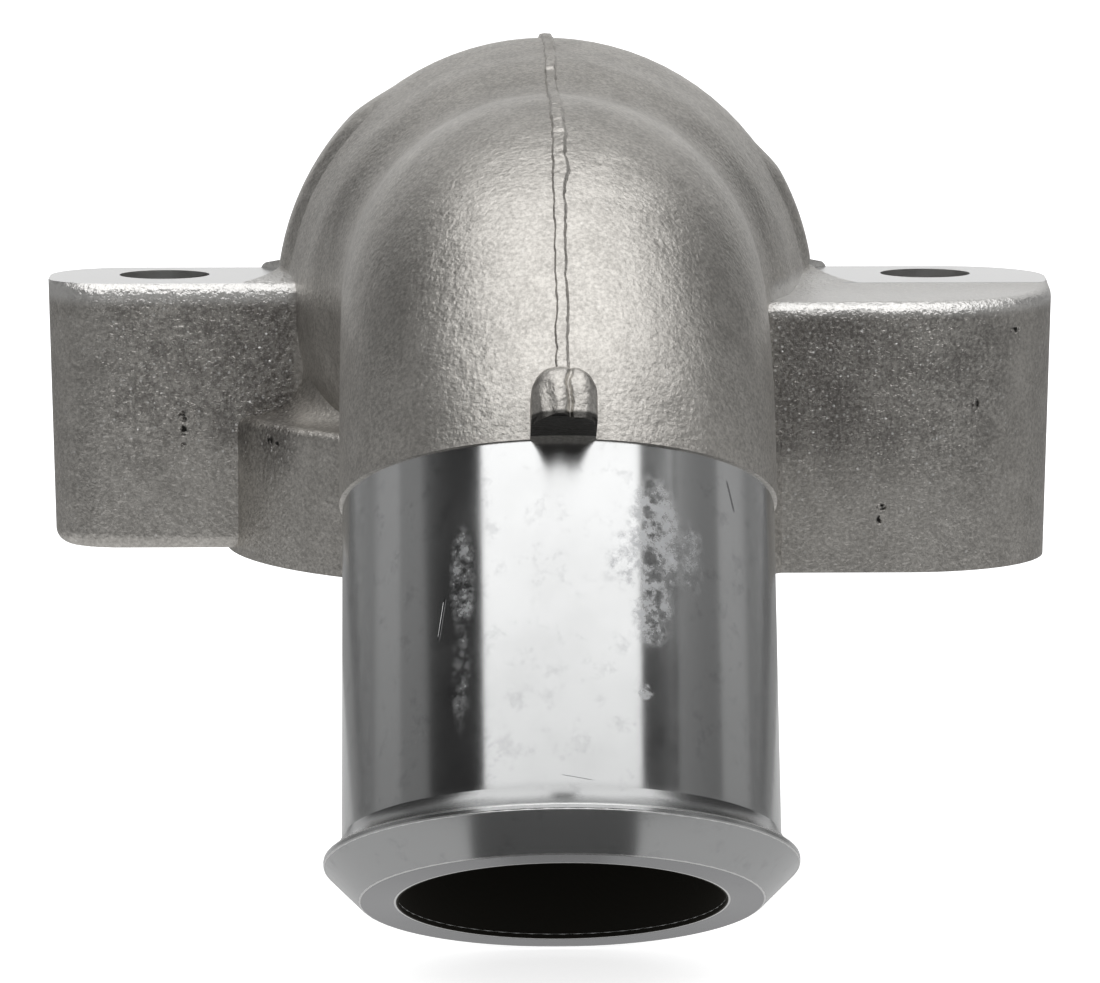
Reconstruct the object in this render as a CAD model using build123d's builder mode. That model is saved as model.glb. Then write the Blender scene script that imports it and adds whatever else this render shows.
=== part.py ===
from build123d import *

import os
from math import acos, cos, radians, sin

# Coolant water outlet: one aluminium casting that bolts over an engine's coolant port.
# Coolant rises through the round flange into a bulb, turns through an elbow
# and leaves by a turned hose spigot that points down and forward.
#
# Frame: the origin is on the mating face, at the centre of the port and midway between the bolts.
# +Z runs up along the bolts, +X is to the right, and the spigot leans towards -Y, the front.

# Round flange
flange_radius = 31.0
flange_thickness = 13.4
flange_edge_rounding = 1.2
flange_fillet = 4.6

# Bolt ears: tall blocks, deeper in front on the right than on the left
bolt_spacing = 73.6
bolt_hole_radius = 4.35
ear_height = 26.0
ear_root = 18.0
ear_back = 7.3
left_ear_front = 9.4
left_ear_end = 47.8
left_ear_relief = 0.5
left_ear_front_corner = 6.0
left_ear_back_corner = 7.5
right_ear_front = 22.2
right_ear_end = 48.1
right_ear_front_corner = 14.0
right_ear_back_corner = 9.5
ear_edge_rounding = 1.2
left_ear_foot_rounding = 1.5
ear_draft = 1.2
ear_crown = 1.3
ear_crown_back = 0.4
ear_crown_back_slope = 0.2
ear_crown_foot = 0.1
ear_crown_front = 8.5
ear_fall = 0.6
ear_fall_slope = 0.02
spot_face_radius = 11.6

# Bulb: a ball over the port, drawn out forwards along an axis that rises slightly.
# It narrows to the pipe by a cone, a full arc and a hollow arc.
bulb_radius = 25.4
bulb_height = 23.4
neck_radius = 25.1
body_rise = 5.0
body_cone_angle = 12.0
body_cone_length = 9.1
body_arc_radius = 24.0
body_hollow_radius = 26.0

# Elbow: its cast pipe leaves the bulb along the rising axis and bends down to the spigot
pipe_radius = 19.3
bend_radius = 22.0
cast_straight = 3.0
spigot_lean = 25.0

# Turned spigot with its hose bead and chamfered mouth
spigot_radius = 19.0
spigot_length = 35.8
bead_radius = 20.6
bead_land = 0.5
bead_ramp = 1.9
bead_ramp_rounding = 3.0
mouth_chamfer_length = 3.1
mouth_face_radius = 17.5
bore_radius = 14.2

# Lug on the outside of the elbow, level with the shoulder
lug_width = 5.6
lug_length = 4.5
lug_height = 6.3
lug_corner = 2.2
lug_rounding = 1.3

# Raised pads on the sides of the bulb: two on the left and one on the right
pad_proud = 0.5
pad_back = 12.0
pad_front = 2.5
pad_corner = 1.6
upper_left_pad = (34.4, 41.0)
lower_left_pad = (27.5, 33.8)
right_pad = (28.2, 35.8)

# Inside: a seat for the regulating insert, the chamber over it and the way to the bore
wall = 4.4
seat_radius = 27.0
seat_depth = 3.0

# The side plane is the plane of symmetry. Points on it are (forward, up).
side_plane = Plane(origin=(0, 0, 0), x_dir=(0, -1, 0), z_dir=(-1, 0, 0))
lean = radians(spigot_lean)
rise = radians(body_rise)
draft = radians(ear_draft)
bulb_centre = Vector(0, 0, bulb_height)
body_axis = Vector(0, -cos(rise), sin(rise))
spigot_axis = Vector(0, -sin(lean), -cos(lean))

# The bulb's profile plane runs along the rising axis, with its Y upwards
body_plane = Plane(origin=bulb_centre, x_dir=body_axis, z_dir=(-1, 0, 0))

# The full arc and the hollow arc share a tangent. Its slope follows from the drop that the
# cone leaves between the ball's radius and the pipe's.
cone_slope = radians(body_cone_angle)
cone_way = Vector(cos(cone_slope), -sin(cone_slope))
cone_normal = Vector(sin(cone_slope), cos(cone_slope))
arcs_drop = (cone_normal * bulb_radius + cone_way * body_cone_length).Y - pipe_radius
steep_slope = acos((body_arc_radius * cos(cone_slope) + body_hollow_radius - arcs_drop)
                   / (body_arc_radius + body_hollow_radius))
steep_normal = Vector(sin(steep_slope), cos(steep_slope))


# Ends of the cone and of the full arc, on the body's outline moved inwards by inset
def taper_points(inset):
    cone_start = cone_normal * (bulb_radius - inset)
    cone_end = cone_start + cone_way * body_cone_length
    arc_end = cone_end + (steep_normal - cone_normal) * (body_arc_radius - inset)
    return cone_start, cone_end, arc_end


body_cone_start, body_cone_end, body_arc_end = taper_points(0)
taper_end = body_arc_end.X + body_hollow_radius * sin(steep_slope)

# The bend starts where the taper ends and stops a short straight before the shoulder
bend_turn = 90 - spigot_lean + body_rise
bend_start = bulb_centre + body_axis * taper_end
bend_end = bend_start + Vector(0, -(sin(rise) + cos(lean)), sin(lean) - cos(rise)) * bend_radius
shoulder_centre = bend_end + spigot_axis * cast_straight
spigot_plane = Plane(origin=shoulder_centre, x_dir=spigot_axis, z_dir=(-1, 0, 0))

# Round flange with the neck that carries the bulb, turned about the port axis
with BuildPart() as flange:
    with BuildSketch(side_plane):
        with BuildLine():
            rim_side = Polyline((0, bulb_height), (0, 0), (flange_radius, 0),
                                (flange_radius, flange_thickness - flange_edge_rounding))
            rim_arc = RadiusArc(rim_side @ 1, (flange_radius - flange_edge_rounding, flange_thickness),
                                -flange_edge_rounding)
            land = Line(rim_arc @ 1, (neck_radius + flange_fillet, flange_thickness))
            neck_arc = RadiusArc(land @ 1, (neck_radius, flange_thickness + flange_fillet),
                                 flange_fillet)
            Polyline(neck_arc @ 1, (neck_radius, bulb_height), (0, bulb_height))
        make_face()
    revolve(axis=Axis.Z)

# Bulb with its forward body, turned about the rising axis and cut off at the mating face
with BuildPart() as bulb:
    with BuildSketch(body_plane):
        with BuildLine():
            RadiusArc((-bulb_radius, 0), body_cone_start, bulb_radius)
            Line(body_cone_start, body_cone_end)
            RadiusArc(body_cone_end, body_arc_end, body_arc_radius)
            RadiusArc(body_arc_end, (taper_end, pipe_radius), -body_hollow_radius)
            Polyline((taper_end, pipe_radius), (taper_end, 0), (-bulb_radius, 0))
        make_face()
    revolve(axis=Axis(bulb_centre, body_axis))
    split(bisect_by=Plane.XY, keep=Keep.TOP)


# Round pipe along the bend and the short straight after it
def pipe_solid(radius):
    with BuildPart() as pipe:
        with BuildLine(side_plane) as path:
            bend = JernArc(start=bend_start, tangent=body_axis, radius=bend_radius,
                           arc_size=-bend_turn)
            Line(bend @ 1, shoulder_centre)
        with BuildSketch(Plane(origin=bend_start, x_dir=(1, 0, 0), z_dir=body_axis)):
            Circle(radius)
        sweep(path=path.line)
    return pipe.part


# Bolt ear: a block with a rounded free end that leans outwards by the draft angle. Its plan
# is drawn square to the lean and cut off level at the underside. Its cast top is crowned
# over the bolt and falls towards the front.
def ear_solid(side, front, end, front_corner, back_corner, underside, foot_rounding):
    root = side * ear_root
    tip = side * (end - ear_height * sin(draft))
    top = ear_height + ear_crown
    plan = Plane(origin=(0, 0, underside), x_dir=(cos(draft), 0, -side * sin(draft)),
                 z_dir=(side * sin(draft), 0, cos(draft)))
    with BuildPart() as ear:
        with BuildSketch(plan):
            with BuildLine():
                FilletPolyline((root, ear_back), (tip, ear_back), (tip, -front), (root, -front),
                               radius=[back_corner, front_corner])
                Line((root, -front), (root, ear_back))
            make_face()
        extrude(amount=2 * top)
        split(bisect_by=Plane.XY.offset(underside), keep=Keep.TOP)
        with BuildSketch(side_plane):
            with BuildLine():
                Spline(
                    (-ear_back, ear_height + ear_crown_back),
                    (0, top),
                    (ear_crown_front, ear_height + ear_crown_foot),
                    (right_ear_front, ear_height - ear_fall),
                    tangents=[(1, ear_crown_back_slope), (1, -ear_fall_slope)],
                )
                Polyline((right_ear_front, ear_height - ear_fall), (right_ear_front, 3 * top),
                         (-ear_back, 3 * top), (-ear_back, ear_height + ear_crown_back))
            make_face()
        extrude(amount=2 * right_ear_end, dir=(side, 0, 0), mode=Mode.SUBTRACT)
        crown = ear.faces().sort_by(Axis.Z)[-1]
        root_edges = ear.faces().sort_by(Axis((0, 0, 0), (side, 0, 0)))[0].edges()
        fillet([edge for edge in crown.edges() if edge not in root_edges], ear_edge_rounding)
        if foot_rounding > 0:
            foot = ear.faces().sort_by(Axis.Z)[0]
            root_edges = ear.faces().sort_by(Axis((0, 0, 0), (side, 0, 0)))[0].edges()
            fillet([edge for edge in foot.edges() if edge not in root_edges], foot_rounding)
    return ear.part


left_ear = ear_solid(-1, left_ear_front, left_ear_end, left_ear_front_corner,
                     left_ear_back_corner, left_ear_relief, left_ear_foot_rounding)
right_ear = ear_solid(1, right_ear_front, right_ear_end, right_ear_front_corner,
                      right_ear_back_corner, 0, 0)

# Turned spigot: cylinder, ramp up to the bead, land and mouth chamfer
bead_end = spigot_length - mouth_chamfer_length
bead_start = bead_end - bead_land
ramp_start = bead_start - bead_ramp
with BuildPart() as spigot:
    with BuildSketch(spigot_plane):
        with BuildLine():
            Polyline((0, 0), (0, spigot_radius), (ramp_start, spigot_radius))
            RadiusArc((ramp_start, spigot_radius), (bead_start, bead_radius), -bead_ramp_rounding)
            Polyline((bead_start, bead_radius), (bead_end, bead_radius),
                     (spigot_length, mouth_face_radius), (spigot_length, 0), (0, 0))
        make_face()
    revolve(axis=Axis(shoulder_centre, spigot_axis))

# Lug: a block that stands out from the front of the pipe and ends level with the shoulder
with BuildPart() as lug:
    with BuildSketch(spigot_plane):
        with Locations((-lug_length / 2, pipe_radius - wall / 2)):
            Rectangle(lug_length, lug_height + wall / 2, align=(Align.CENTER, Align.MIN))
    extrude(amount=lug_width / 2, both=True)
    outward = Axis(shoulder_centre, spigot_plane.y_dir)
    along = Axis(shoulder_centre, spigot_axis)
    fillet(lug.edges().filter_by(outward).sort_by(along)[:2], lug_corner)
    outer_face = lug.faces().sort_by(outward)[-1]
    shoulder_end = lug.faces().sort_by(along)[-1]
    shoulder_edges = shoulder_end.edges()
    rounded_edges = [edge for edge in outer_face.edges() if edge not in shoulder_edges]
    fillet(rounded_edges, lug_rounding)


# Raised pad on the side of the bulb: a slightly larger ball, cut down to a rounded outline
def pad_solid(side, low, high):
    with BuildPart() as pad:
        with BuildSketch(side_plane):
            with Locations(((pad_front - pad_back) / 2, (low + high) / 2)):
                RectangleRounded(pad_front + pad_back, high - low, pad_corner)
        extrude(amount=2 * bulb_radius, dir=(side, 0, 0))
        with Locations(bulb_centre):
            Sphere(bulb_radius + pad_proud, mode=Mode.INTERSECT)
    return pad.part


# Hollow inside: the port, the ball-shaped chamber over it, a funnel towards the elbow,
# and the round way through the bend and out of the spigot
chamber_radius = bulb_radius - wall
chamber_cone_start, chamber_cone_end, chamber_arc_end = taper_points(wall)
with BuildPart() as hollow:
    with BuildSketch(body_plane):
        with BuildLine():
            RadiusArc((-chamber_radius, 0), chamber_cone_start, chamber_radius)
            Line(chamber_cone_start, chamber_cone_end)
            RadiusArc(chamber_cone_end, chamber_arc_end, body_arc_radius - wall)
            Polyline(chamber_arc_end, (taper_end, bore_radius), (taper_end, 0),
                     (-chamber_radius, 0))
        make_face()
    revolve(axis=Axis(bulb_centre, body_axis))
    split(bisect_by=Plane.XY, keep=Keep.TOP)
    with BuildSketch(Plane.XY):
        Circle(neck_radius - wall)
    extrude(amount=bulb_height)
    with BuildSketch(Plane.XY):
        Circle(seat_radius)
    extrude(amount=seat_depth)
    add(pipe_solid(bore_radius))
    with BuildSketch(Plane(origin=shoulder_centre, x_dir=(1, 0, 0), z_dir=spigot_axis)):
        Circle(bore_radius)
    extrude(amount=spigot_length)

with BuildPart() as casting:
    add(flange.part)
    add(bulb.part)
    add(pipe_solid(pipe_radius))
    add(left_ear)
    add(right_ear)
    add(lug.part)
    add(pad_solid(-1, *upper_left_pad))
    add(pad_solid(-1, *lower_left_pad))
    add(pad_solid(1, *right_pad))
    add(spigot.part)
    add(hollow.part, mode=Mode.SUBTRACT)
    with BuildSketch(Plane.XY.offset(ear_height)):
        with GridLocations(bolt_spacing, 0, 2, 1):
            Circle(spot_face_radius)
        with GridLocations(bolt_spacing + 2 * spot_face_radius, 0, 2, 1):
            Rectangle(2 * spot_face_radius, 2 * spot_face_radius)
    extrude(amount=2 * ear_crown, mode=Mode.SUBTRACT)
    with BuildSketch(Plane.XY):
        with GridLocations(bolt_spacing, 0, 2, 1):
            Circle(bolt_hole_radius)
    extrude(amount=ear_height + ear_crown, mode=Mode.SUBTRACT)

casting.part.label = "outlet_casting"
os.makedirs("parts", exist_ok=True)
export_step(casting.part, "parts/outlet_casting.step")
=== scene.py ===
"""Coolant water outlet: blasted cast skin, flash line, lug and turned spigot on the packed casting."""

from math import acos, cos, degrees, hypot, pi, radians, sin
from types import SimpleNamespace

import bpy
import numpy as np
from mathutils import Matrix, Vector


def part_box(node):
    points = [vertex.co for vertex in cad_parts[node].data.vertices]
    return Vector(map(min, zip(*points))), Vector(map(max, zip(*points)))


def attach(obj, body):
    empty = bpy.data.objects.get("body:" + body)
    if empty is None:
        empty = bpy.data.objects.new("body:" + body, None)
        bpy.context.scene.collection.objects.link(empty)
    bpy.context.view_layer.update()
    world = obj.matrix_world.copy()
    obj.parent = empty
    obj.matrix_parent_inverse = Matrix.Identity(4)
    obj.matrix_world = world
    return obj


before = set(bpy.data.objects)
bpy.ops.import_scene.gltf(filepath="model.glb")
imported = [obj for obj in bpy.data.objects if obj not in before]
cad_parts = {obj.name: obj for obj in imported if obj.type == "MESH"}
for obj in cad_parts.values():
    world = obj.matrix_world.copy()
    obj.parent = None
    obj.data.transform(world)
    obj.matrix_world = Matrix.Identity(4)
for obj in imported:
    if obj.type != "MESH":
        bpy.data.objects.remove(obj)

bl_info = {
    "name": "Coolant water outlet",
    "version": (1, 0, 0),
    "blender": (4, 5, 0),
    "location": "3D View > Sidebar > Outlet",
    "description": "Cast skin, flash line, lug and turned spigot of a coolant water outlet",
    "category": "Object",
}

CASTING = "outlet_casting"
BODY = "root"
MM = 0.001
CASTING_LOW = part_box(CASTING)[0]

# The casting's driving sizes, in millimetres, as its solid has them
BULB_RADIUS = 25.4
BULB_HEIGHT = 23.4
BODY_RISE = 5.0
BODY_CONE_ANGLE = 12.0
BODY_CONE_LENGTH = 9.1
BODY_ARC_RADIUS = 24.0
BODY_HOLLOW_RADIUS = 26.0
PIPE_RADIUS = 19.3
BEND_RADIUS = 22.0
CAST_STRAIGHT = 3.0
SPIGOT_LEAN = 25.0
SPIGOT_LENGTH = 35.8
BORE_RADIUS = 14.2
BOLT_SPACING = 73.6
BOLT_HOLE_RADIUS = 4.35
EAR_HEIGHT = 26.0
SEAT_RADIUS = 27.0
SEAT_DEPTH = 3.0
NECK_RADIUS = 25.1
WALL = 4.4

# How far the milled tone reaches round a bolt, 1 mm past the edge of the spot face
SPOT_FACE_REACH = 12.6

# How far off a face may lie, in height and sideways, and still count as the face
LEVEL_SLACK = 0.03
FACE_SLACK = 0.05

RIGHT = np.array((1.0, 0.0, 0.0))

# Camera: the picture's width in pixels, the sensor's width, and the point it aims at in millimetres
PICTURE_WIDTH = 1100
SENSOR_WIDTH = 36.0
CAMERA_AIM = (0.458183, 0.0, 4.729312)


def body_point(along, across):
    """A point of the symmetry plane, as (forward, up): bulb centre + along * axis + across * normal."""
    rise = radians(BODY_RISE)
    forward = along * cos(rise) - across * sin(rise)
    up = BULB_HEIGHT + along * sin(rise) + across * cos(rise)
    return np.stack((forward, up), axis=-1)


# The body's outline as (along, across) its axis: a cone, then a full and a hollow arc that
# share a tangent of the steepest slope
CONE_SLOPE = radians(BODY_CONE_ANGLE)
CONE_NORMAL = np.array((sin(CONE_SLOPE), cos(CONE_SLOPE)))
CONE_WAY = np.array((cos(CONE_SLOPE), -sin(CONE_SLOPE)))
ARC_CENTRE = CONE_NORMAL * (BULB_RADIUS - BODY_ARC_RADIUS) + CONE_WAY * BODY_CONE_LENGTH
ARCS_RADIUS = BODY_ARC_RADIUS + BODY_HOLLOW_RADIUS
STEEP_SLOPE = acos((BODY_HOLLOW_RADIUS + PIPE_RADIUS - ARC_CENTRE[1]) / ARCS_RADIUS)
TAPER_END = ARC_CENTRE[0] + ARCS_RADIUS * sin(STEEP_SLOPE)
BEND_CENTRE = body_point(TAPER_END, -BEND_RADIUS)
LEAN = radians(SPIGOT_LEAN)
FRONT_NORMAL = np.array((cos(LEAN), sin(LEAN)))
DOWN_SPIGOT = np.array((sin(LEAN), -cos(LEAN)))
SHOULDER_CENTRE = BEND_CENTRE + BEND_RADIUS * FRONT_NORMAL + CAST_STRAIGHT * DOWN_SPIGOT


def in_space(forward_up, sideways=0.0):
    """Turns (forward, up) into (x, y, z), with forward along -Y and sideways along +X."""
    forward_up = np.asarray(forward_up, float)
    sideways = np.broadcast_to(sideways, forward_up.shape[:-1])
    return np.stack((sideways, -forward_up[..., 0], forward_up[..., 1]), axis=-1)


SPIGOT_START = in_space(SHOULDER_CENTRE)
SPIGOT_AXIS = in_space(DOWN_SPIGOT)
SPIGOT_FRONT = in_space(FRONT_NORMAL)


def length_property(name, description, default, low=0.0, high=1.0):
    """A size in metres with its default given in millimetres."""
    return bpy.props.FloatProperty(
        name=name, description=description, default=default * MM, min=low, max=high,
        subtype="DISTANCE", unit="LENGTH", precision=5,
    )


def share_property(name, description, default):
    """A share from 0 to 1."""
    return bpy.props.FloatProperty(
        name=name, description=description, default=default, min=0.0, max=1.0, subtype="FACTOR"
    )


def colour_property(name, description, default):
    """A colour in linear light."""
    return bpy.props.FloatVectorProperty(
        name=name, description=description, default=default, size=3, min=0.0, max=1.0, subtype="COLOR"
    )


def angle_property(name, description, default):
    """An angle with its default given in degrees."""
    return bpy.props.FloatProperty(
        name=name, description=description, default=radians(default), subtype="ANGLE", unit="ROTATION"
    )


class SpigotSizes(bpy.types.PropertyGroup):
    """Sizes of the turned skin of the spigot."""

    radius: length_property("Radius", "Outer radius of the turned cylinder", 19.0)
    skin: length_property("Skin", "How far the turned skin stands over the solid", 0.02)
    bead_radius: length_property("Bead radius", "Outer radius of the hose bead", 20.6)
    bead_land: length_property("Bead land", "Length of the bead's flat land", 0.5)
    bead_ramp: length_property("Bead ramp", "Length of the ramp up to the bead", 1.9)
    bead_ramp_rounding: length_property("Ramp rounding", "Hollow radius of the ramp", 3.0)
    chamfer: length_property("Mouth chamfer", "Length of the chamfer behind the mouth", 3.1)
    mouth_radius: length_property("Mouth radius", "Outer radius of the flat mouth face", 17.5)
    edge: length_property("Broken edge", "Size of the broken edges", 0.12)


class FlashSizes(bpy.types.PropertyGroup):
    """Sizes of the flash line where the two mould halves met."""

    height: length_property("Height", "Mean height over the cast skin", 0.24)
    grit: length_property("Grit", "How uneven its back is", 0.022)
    sink: length_property("Sink", "How far its edges lie under the cast skin", 0.03)
    foot: length_property("Foot", "Depth of its foot in the casting", 0.35)
    wander: length_property("Wander", "How far the line wanders sideways", 0.05)


class LugSizes(bpy.types.PropertyGroup):
    """Sizes of the lug's cast skin."""

    width: length_property("Width", "Width over the two flanks", 5.95)
    length: length_property("Length", "Length along the spigot", 4.85)
    belly: length_property("Belly", "How far over the shoulder it is widest", 1.6)
    height: length_property("Height", "Height over the pipe", 6.62)
    root: length_property("Root", "Depth of its foot in the pipe", 1.4)
    crack: length_property("Crack", "Depth of the crack that the flash line leaves", 0.34)
    crack_width: length_property("Crack width", "Half width of the crack", 0.2)


class PadSizes(bpy.types.PropertyGroup):
    """Sizes of the soft skins of the raised pads."""

    proud: length_property("Proud", "Height over the ball", 0.56)
    back: length_property("Back", "Reach to the back of the port axis", 12.0)
    front: length_property("Front", "Reach to the front of the port axis", 2.5)
    corner: length_property("Corner", "Corner radius of the outline", 1.6)
    soft: length_property("Soft edge", "Width of the soft edge", 3.4)


class CastFinish(bpy.types.PropertyGroup):
    """Colours and grain of the cast and milled faces, and the colours of their painted shade and painted
    highlights.
    """

    colour: colour_property("Cast", "Colour of the blasted skin", (0.765, 0.738, 0.695))
    dark_colour: colour_property("Dark cast", "Colour of the dull grains", (0.425, 0.408, 0.382))
    # Also the painted shade on the ears' fronts, overall and more beside the bulb, besides their dark
    # grains
    ear_grain_and_shade_colour: colour_property("Ear front", "Colour of the ears' pitted skin", (0.2, 0.188, 0.178))
    # Painted highlight: the painted glints on single grains and the painted bright rim of the ears' tops
    painted_highlight_colour: colour_property("Glint", "Colour of the bright grains", (0.93, 0.92, 0.9))
    milled_colour: colour_property("Milled", "Colour of the milled faces", (0.74, 0.74, 0.735))
    # The inside's colour: partly coolant stain, partly painted shade
    bore_stain_and_shade_colour: colour_property("Bore", "Colour of the stained bore", (0.05, 0.047, 0.04))
    # Painted shade inside the pores and on the lug's cut end
    pore_shade_colour: colour_property("Pore", "Colour inside a pore", (0.03, 0.029, 0.027))
    roughness: share_property("Roughness", "Roughness of the blasted skin", 0.43)
    milled_roughness: share_property("Milled roughness", "Roughness of the milled faces", 0.3)
    fine_grain: length_property("Fine grain", "Height of the fine grain", 0.066)
    coarse_grain: length_property("Coarse grain", "Height of the coarse grain on the ears", 0.16)


class TurnedFinish(bpy.types.PropertyGroup):
    """Colours and marks of the turned spigot, and the colours of its painted shade."""

    colour: colour_property("Turned", "Colour of the metal near the shoulder", (0.66, 0.665, 0.665))
    # Painted shade: the metal darkens from the shoulder towards this colour at the mouth
    mouth_shade_colour: colour_property("Mouth", "Colour of the metal near the mouth", (0.47, 0.475, 0.475))
    smear_colour: colour_property("Smear", "Colour of the whitish smears", (0.46, 0.47, 0.49))
    # Also the painted shade on the flat mouth face
    scratch_and_shade_colour: colour_property("Scratch", "Colour in a scratch", (0.2, 0.2, 0.21))
    roughness: share_property("Roughness", "Roughness of the turned metal", 0.16)
    bead_roughness: share_property("Bead roughness", "Roughness of the bead and the mouth", 0.26)
    smear_roughness: share_property("Smear roughness", "Roughness of the smears", 0.6)


class StudioSettings(bpy.types.PropertyGroup):
    """Camera, floor and lights."""

    distance: length_property("Distance", "Camera distance from the aim point", 560.08779, 0.0, 10.0)
    azimuth: angle_property("Azimuth", "Camera angle round the part", -1.296621)
    elevation: angle_property("Elevation", "Camera angle over the horizon", 7.760419)
    roll: angle_property("Roll", "Camera roll", 0.017352)
    focal_pixels: bpy.props.FloatProperty(
        name="Focal length", description="Focal length in pixels of the picture", default=5758.07926
    )
    floor_gap: length_property("Floor gap", "Gap under the part's lowest point", 0.15)
    floor_colour: colour_property("Floor", "Colour of the pale floor", (0.8, 0.8, 0.8))
    floor_lift: share_property("Floor lift", "White added where the floor is seen directly", 0.77)
    key_strength: bpy.props.FloatProperty(
        name="Key light", description="Radiance of the soft light over the camera", default=0.9, min=0.0
    )


GROUPS = {
    "outlet_spigot": SpigotSizes,
    "outlet_flash": FlashSizes,
    "outlet_lug": LugSizes,
    "outlet_pads": PadSizes,
    "outlet_cast": CastFinish,
    "outlet_turned": TurnedFinish,
    "outlet_studio": StudioSettings,
}


# Meshes


def in_mm(sizes):
    """A group's sizes as plain numbers in millimetres."""
    return SimpleNamespace(**{name: getattr(sizes, name) / MM for name in type(sizes).__annotations__})


def placed(name, data):
    """A new object in the scene for a mesh, a camera or a lamp."""
    made = bpy.data.objects.new(name, data)
    bpy.context.scene.collection.objects.link(made)
    return made


def smooth_piece(name, points, faces):
    """A smooth piece from points in millimetres and its faces."""
    mesh = bpy.data.meshes.new(name)
    mesh.from_pydata((points * MM).tolist(), [], faces)
    mesh.validate()
    mesh.update()
    mesh.shade_smooth()
    return placed(name, mesh)


def grid_quads(rows, columns):
    """The quads of a grid of points; each starts at its own point and goes on along the row."""
    index = np.arange(rows * columns).reshape(rows, columns)
    corners = (index[:-1, :-1], index[:-1, 1:], index[1:, 1:], index[1:, :-1])
    return np.stack(corners, axis=-1).reshape(-1, 4)


def closed_skin(name, grid, loop_along=False):
    """Puts a grid of points (rings, points round, 3), in millimetres, into a closed mesh.

    Each ring is a loop. Neighbouring rings are joined by quads; the rings are a loop themselves
    when loop_along is set, and else the first and last ring are closed to their mean point.
    """
    rings, around = grid.shape[:2]
    points = grid.reshape(-1, 3)
    row = np.arange(rings if loop_along else rings - 1)[:, None]
    near, far = row * around, (row + 1) % rings * around
    here = np.arange(around)
    ahead = (here + 1) % around
    quads = np.stack((near + here, near + ahead, far + ahead, far + here), axis=-1)
    faces = quads.reshape(-1, 4).tolist()
    if not loop_along:
        first = len(points)
        last = (rings - 1) * around
        points = np.concatenate((points, (grid[0].mean(0), grid[-1].mean(0))))
        faces += np.stack((ahead, here, np.full(around, first)), axis=-1).tolist()
        faces += np.stack((last + here, last + ahead, np.full(around, first + 1)), axis=-1).tolist()
    return smooth_piece(name, points, faces)


def facing_out(piece):
    """Turns every face outwards when the skin's volume comes out negative."""
    mesh = piece.data
    mesh.calc_loop_triangles()
    corners = np.empty(len(mesh.loop_triangles) * 3, np.int32)
    mesh.loop_triangles.foreach_get("vertices", corners)
    points = np.empty(len(mesh.vertices) * 3)
    mesh.vertices.foreach_get("co", points)
    a, b, c = points.reshape(-1, 3)[corners.reshape(-1, 3)].transpose(1, 0, 2)
    if np.einsum("ij,ij->i", a, np.cross(b, c)).sum() < 0:
        mesh.flip_normals()
    return piece


def finished(piece, material):
    """A finished piece of the casting: its material, its body and its slot."""
    piece.data.materials.clear()
    piece.data.materials.append(material)
    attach(piece, BODY)
    return piece


def ripple(along, seed, longest, shortest, waves=7):
    """Sum of sines of random phase, from the longest to the shortest wave, about -1 to 1."""
    draw = np.random.default_rng(seed)
    lengths = np.geomspace(longest, shortest, waves)
    phases = draw.uniform(0, 2 * pi, waves)
    weights = lengths**0.5
    parts = weights * np.sin(2 * pi * along[..., None] / lengths + phases)
    return parts.sum(-1) / np.sqrt((weights**2).sum())


def arc(centre, radius, start, stop, count=90):
    """Points on a circle: centre + radius * (cos t, sin t), t going from start to stop in degrees."""
    t = np.radians(np.linspace(start, stop, count))
    return np.asarray(centre) + radius * np.stack((np.cos(t), np.sin(t)), axis=-1)


def parting_profile(spacing):
    """The casting's outline in the symmetry plane, from the back of the neck to the shoulder.

    It runs round the ball, along the cone, over the full arc, through the hollow arc, round the
    outside of the bend and down the short straight. Returns the way travelled, points at equal
    spacing and the outward normals there, the last two as (forward, up).
    """
    steep = degrees(STEEP_SLOPE)
    full_arc = arc(ARC_CENTRE, BODY_ARC_RADIUS, 90 - BODY_CONE_ANGLE, 90 - steep)
    hollow_arc = arc((TAPER_END, PIPE_RADIUS + BODY_HOLLOW_RADIUS), BODY_HOLLOW_RADIUS, 270 - steep, 270)
    outer = BEND_RADIUS + PIPE_RADIUS
    pieces = [
        arc((0, BULB_HEIGHT), BULB_RADIUS, 188, 90 + BODY_RISE - BODY_CONE_ANGLE),
        body_point(*full_arc.T),
        body_point(*hollow_arc.T),
        arc(BEND_CENTRE, outer, 90 + BODY_RISE, SPIGOT_LEAN),
        (SHOULDER_CENTRE + PIPE_RADIUS * FRONT_NORMAL)[None],
    ]
    rough = np.concatenate(pieces)
    steps = np.linalg.norm(np.diff(rough, axis=0), axis=1)
    rough = rough[np.concatenate(([True], steps > 1e-6))]
    travelled = np.concatenate(([0], np.cumsum(np.linalg.norm(np.diff(rough, axis=0), axis=1))))
    along = np.arange(0, travelled[-1], spacing)
    points = np.stack([np.interp(along, travelled, rough[:, k]) for k in range(2)], axis=-1)
    tangent = np.gradient(points, axis=0)
    tangent /= np.linalg.norm(tangent, axis=1)[:, None]
    normal = np.stack((-tangent[:, 1], tangent[:, 0]), axis=-1)
    return along, points, normal


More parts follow.
